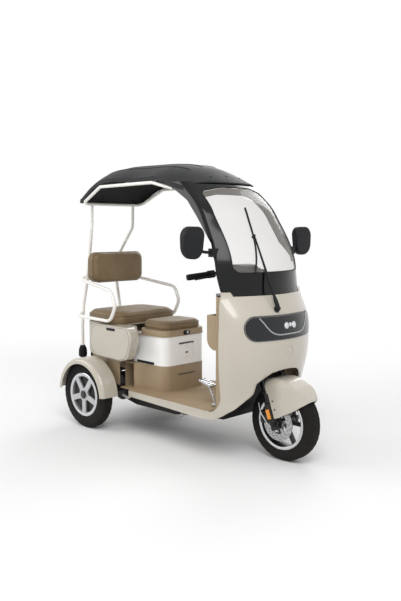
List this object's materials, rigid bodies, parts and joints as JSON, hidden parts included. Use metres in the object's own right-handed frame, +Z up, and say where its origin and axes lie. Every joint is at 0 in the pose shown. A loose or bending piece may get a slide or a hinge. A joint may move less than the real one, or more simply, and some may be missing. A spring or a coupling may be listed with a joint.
{
  "type": "three-wheeled electric motorcycle",
  "caption": "Covered electric tricycle scooter with windscreen, roof, driver's seat over a storage box, passenger seat with armrests, and steered front wheel.",
  "frame": {"origin": "on the ground, midway along the vehicle's overall length and on its centre plane", "axes": "+X forward, +Y to the vehicle's left, +Z up"},
  "size_m": [1.799, 1.0648, 1.6247],
  "materials": {
    "frame_black": "satin black paint",
    "battery_grey": "matte",
    "black_plastic": "fine grained, satin",
    "floor_mat": "ribbed tan mat",
    "shell_cream": "gloss cream paint",
    "tan_plastic": "fine grained, satin",
    "lamp_glass": "polished dark lens",
    "black_gloss": "gloss black",
    "clear_screen": "polished, lightly smoked",
    "roof_dark": "matte moulded",
    "tube_cream": "gloss powder coat",
    "seat_leather": "fine grain, stitched",
    "box_white": "satin white",
    "spring_steel": "black coil spring",
    "bright_steel": "brushed",
    "fork_black": "gloss black",
    "amber": "moulded reflector",
    "grip_rubber": "ribbed",
    "tyre_rubber": "matte",
    "rim_black": "black cast, bright lip",
    "rim_silver": "silver painted"
  },
  "bodies": {
    "chassis": {"chassis_frame": "frame_black", "battery_pack": "battery_grey", "under_tray": "black_plastic", "floor_pan": "floor_mat", "front_shell": "shell_cream", "inner_shield": "tan_plastic", "wheel_arch": "black_plastic", "headlamp_band": "lamp_glass", "windscreen_frame": "black_gloss", "windscreen_glass": "clear_screen", "dash_panel": "black_plastic", "wiper": "black_plastic", "roof_cap": "roof_dark", "canopy_frame": "tube_cream", "rear_frame": "tube_cream", "armrest_right": "tube_cream", "armrest_left": "tube_cream", "backrest": "seat_leather", "rear_cushion": "seat_leather", "rear_seat_box": "shell_cream", "side_box_right": "shell_cream", "side_box_left": "shell_cream", "seat_box": "box_white", "seat_box_base": "tan_plastic", "rear_body": "tan_plastic", "rear_fender_right": "shell_cream", "rear_fender_left": "shell_cream", "rear_lamps": "black_plastic", "rear_axle": "frame_black", "trailing_arms": "frame_black", "rear_shocks": "spring_steel", "mirror_right": "black_plastic", "mirror_left": "black_plastic", "brake_pedal": "bright_steel", "plate_bracket": "frame_black"},
    "steering": {"fork": "fork_black", "front_fender": "shell_cream", "fork_reflectors": "amber", "handlebar": "frame_black", "grips": "grip_rubber", "controls": "black_plastic", "instrument": "black_plastic", "brake_caliper": "frame_black"},
    "front_wheel": {"front_tyre": "tyre_rubber", "front_rim": "rim_black", "brake_disc": "bright_steel"},
    "rear_wheel_right": {"rear_tyre_right": "tyre_rubber", "rear_rim_right": "rim_silver"},
    "rear_wheel_left": {"rear_tyre_left": "tyre_rubber", "rear_rim_left": "rim_silver"},
    "lid": {"seat_lid": "tan_plastic", "driver_cushion": "seat_leather", "lid_lock": "black_plastic"},
    "door": {"box_door": "box_white"}
  },
  "joints": [
    {"name": "steer", "type": "hinge", "parent": "chassis", "child": "steering", "pos_m": [0.47072, 0, 0.7], "axis": [-0.342, 0, 0.9397], "range_deg": [-35, 35]},
    {"name": "front_axle", "type": "hinge", "parent": "steering", "child": "front_wheel", "pos_m": [0.6895, 0, 0.21], "axis": [0, 1, 0], "continuous": true},
    {"name": "rear_axle_right", "type": "hinge", "parent": "chassis", "child": "rear_wheel_right", "pos_m": [-0.6015, -0.339, 0.21], "axis": [0, 1, 0], "continuous": true},
    {"name": "rear_axle_left", "type": "hinge", "parent": "chassis", "child": "rear_wheel_left", "pos_m": [-0.6015, 0.339, 0.21], "axis": [0, 1, 0], "continuous": true},
    {"name": "lid_hinge", "type": "hinge", "parent": "chassis", "child": "lid", "pos_m": [-0.3165, 0, 0.605], "axis": [0, -1, 0], "range_deg": [0, 60]},
    {"name": "door_hinge", "type": "hinge", "parent": "chassis", "child": "door", "pos_m": [-0.0695, 0, 0.4553], "axis": [0, 1, 0], "range_deg": [0, 90]}
  ]
}
